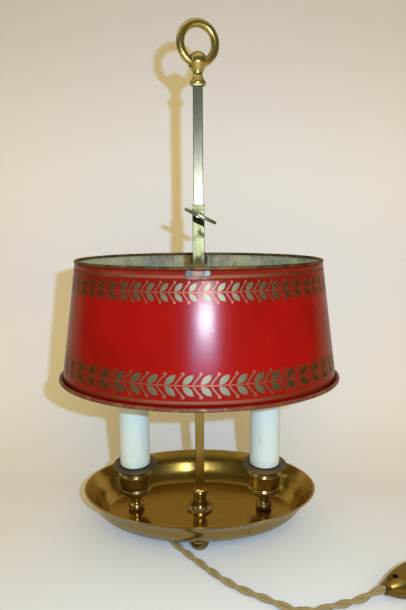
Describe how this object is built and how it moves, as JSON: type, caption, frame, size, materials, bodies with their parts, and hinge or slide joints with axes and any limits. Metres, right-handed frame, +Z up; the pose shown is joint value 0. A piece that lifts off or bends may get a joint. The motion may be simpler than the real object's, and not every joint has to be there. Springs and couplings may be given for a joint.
{
  "type": "bouillotte lamp",
  "caption": "Bouillotte table lamp: oval red tole shade sliding on a square brass stem above candle lights on a dished oval tray, with ring finial, twisted cord, switch and plug.",
  "frame": {"origin": "on the surface the feet stand on, under the stem's axis", "axes": "+Z up along the stem, front towards -Y, the long way of the oval along X"},
  "size_m": [0.418, 0.2088, 0.4326],
  "materials": {
    "aged_brass": "aged, brushed",
    "bright_brass": "rubbed, half polished",
    "olive_brass": "dull olive patina",
    "dark_brass": "dark patina, polished edges",
    "red_tole": "glossy red enamel with a painted gold border",
    "steel": "zinc plated",
    "black_fibre": "black fibre",
    "candle_card": "cool white, satin",
    "phenolic": "moulded black-brown",
    "porcelain_white": "white, glossy",
    "bulb_glass": "clear",
    "cap_metal": "thin spun metal",
    "gold_cord": "braided gold silk",
    "wire_sheath": "ivory",
    "plug_brown": "moulded brown",
    "rocker_black": "black"
  },
  "bodies": {
    "base": {"bulb_cap_left": "cap_metal", "bulb_cap_right": "cap_metal", "bulb_glass_left": "bulb_glass", "bulb_glass_right": "bulb_glass", "candle_collar_left": "black_fibre", "candle_collar_right": "black_fibre", "candle_cup_left": "dark_brass", "candle_cup_right": "dark_brass", "candle_sleeve_left": "candle_card", "candle_sleeve_right": "candle_card", "cord_clip": "steel", "cord_coil": "gold_cord", "cord_end": "gold_cord", "cord_leads": "wire_sheath", "cord_tail": "gold_cord", "cord_to_switch": "gold_cord", "cup_nipple_left": "steel", "cup_nipple_right": "steel", "finial": "bright_brass", "foot_back_left": "aged_brass", "foot_back_right": "aged_brass", "foot_front": "aged_brass", "foot_screws": "aged_brass", "lamp_wire_left": "wire_sheath", "lamp_wire_right": "wire_sheath", "lampholder_base_left": "phenolic", "lampholder_base_right": "phenolic", "lampholder_left": "phenolic", "lampholder_right": "phenolic", "nipple_nuts_left": "steel", "nipple_nuts_right": "steel", "plate_screws": "steel", "plug_body": "plug_brown", "plug_pins": "bright_brass", "stem_bar": "olive_brass", "stem_bolt": "steel", "stem_foot": "dark_brass", "stem_washer": "steel", "switch_lower": "bright_brass", "switch_screws": "steel", "switch_upper": "bright_brass", "terminal_block": "porcelain_white", "terminal_plate": "steel", "tray": "aged_brass"},
    "shade_carriage": {"slider_sleeve": "olive_brass", "clamp_boss": "aged_brass", "shade_wall": "red_tole", "shade_top_wire": "olive_brass", "shade_bottom_wire": "olive_brass", "shade_strap": "aged_brass", "shade_rivets": "steel"},
    "thrust_pad": {"clamp_pad": "bright_brass"},
    "clamp_key": {"key_screw": "aged_brass", "key_grip": "aged_brass"},
    "ring": {"finial_ring": "bright_brass"},
    "rocker": {"switch_rocker": "rocker_black"}
  },
  "joints": [
    {"name": "shade_slide", "type": "slide", "parent": "base", "child": "shade_carriage", "axis": [0, 0, 1], "range_m": [-0.13, 0.0937]},
    {"name": "pad_slide", "type": "slide", "parent": "shade_carriage", "child": "thrust_pad", "axis": [0, -1, 0], "range_m": [0, 0.00105]},
    {"name": "key_turn", "type": "hinge", "parent": "thrust_pad", "child": "clamp_key", "pos_m": [0, -0.012, 0.2805], "axis": [0, -1, 0], "range_deg": [0, 540]},
    {"name": "ring_swing", "type": "hinge", "parent": "base", "child": "ring", "pos_m": [0, 0, 0.4009], "axis": [0.9397, 0.342, 0], "range_deg": [-90, 84]},
    {"name": "rocker_tilt", "type": "hinge", "parent": "base", "child": "rocker", "pos_m": [0.16989, -0.08753, 0.0129], "axis": [-0.342, 0.9397, 0], "range_deg": [-16, 0]}
  ],
  "couplings": [
    {"joint": "pad_slide", "follows": "key_turn", "m_per_rad": 0.00011141}
  ]
}
